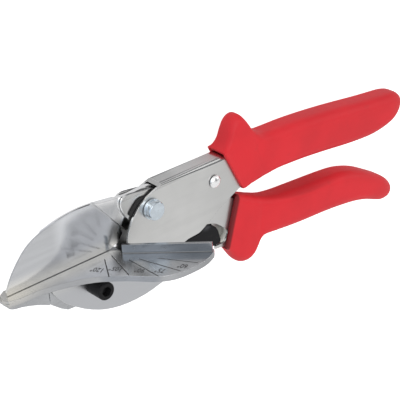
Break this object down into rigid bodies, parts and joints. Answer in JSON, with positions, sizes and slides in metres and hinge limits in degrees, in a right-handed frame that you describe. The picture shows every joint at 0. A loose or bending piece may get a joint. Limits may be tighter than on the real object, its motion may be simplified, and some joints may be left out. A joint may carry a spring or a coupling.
{
  "type": "mitre shears",
  "caption": "hand shears with a straight blade that closes on a fan-shaped mitre table with a fence, sprung channel handles with moulded grips and a safety latch",
  "frame": {"origin": "on the pivot bolt's axis, in the plane that the tool rests on when it lies on its back", "axes": "+X runs from the pivot to the ends of the handles, +Y to the blade's side, at right angles to the table's face, and +Z along the pivot, towards the side that the table juts out of"},
  "size_m": [0.2192, 0.0724, 0.0438],
  "materials": {
    "plated_steel": "satin nickel-plated pressed steel",
    "polished_steel": "polished hardened steel",
    "cast_table": "polished die casting",
    "zinc_steel": "bright zinc-plated steel",
    "black_steel": "black oxide",
    "spring_steel": "drawn wire",
    "red_plastic": "satin moulded plastic",
    "spacer": "black slip sheet"
  },
  "bodies": {
    "anvil_frame": {"upper_channel": "plated_steel", "upper_grip": "red_plastic", "mitre_table": "cast_table", "table_screw": "black_steel", "table_nut": "zinc_steel", "pivot_bolt": "zinc_steel", "pivot_nut": "zinc_steel", "front_spacer": "spacer", "rear_spacer": "spacer", "catch_rivet": "plated_steel", "upper_spring_seat": "black_steel", "opening_spring": "spring_steel"},
    "blade_frame": {"lower_channel": "plated_steel", "lower_grip": "red_plastic", "blade_arm": "polished_steel", "cutting_blade": "polished_steel", "blade_screw_1": "zinc_steel", "blade_screw_2": "zinc_steel", "arm_rivet_1": "plated_steel", "arm_rivet_2": "plated_steel", "lower_spring_seat": "black_steel", "latch_pin": "plated_steel"},
    "latch": {"latch_lever": "black_steel"}
  },
  "joints": [
    {"name": "handle_pivot", "type": "hinge", "parent": "anvil_frame", "child": "blade_frame", "pos_m": [0, 0, 0.007], "axis": [0, 0, -1], "range_deg": [0, 40]},
    {"name": "latch_pivot", "type": "hinge", "parent": "blade_frame", "child": "latch", "pos_m": [0.0282, -0.013, 0.007], "axis": [0, 0, -1], "range_deg": [0, 18]}
  ]
}
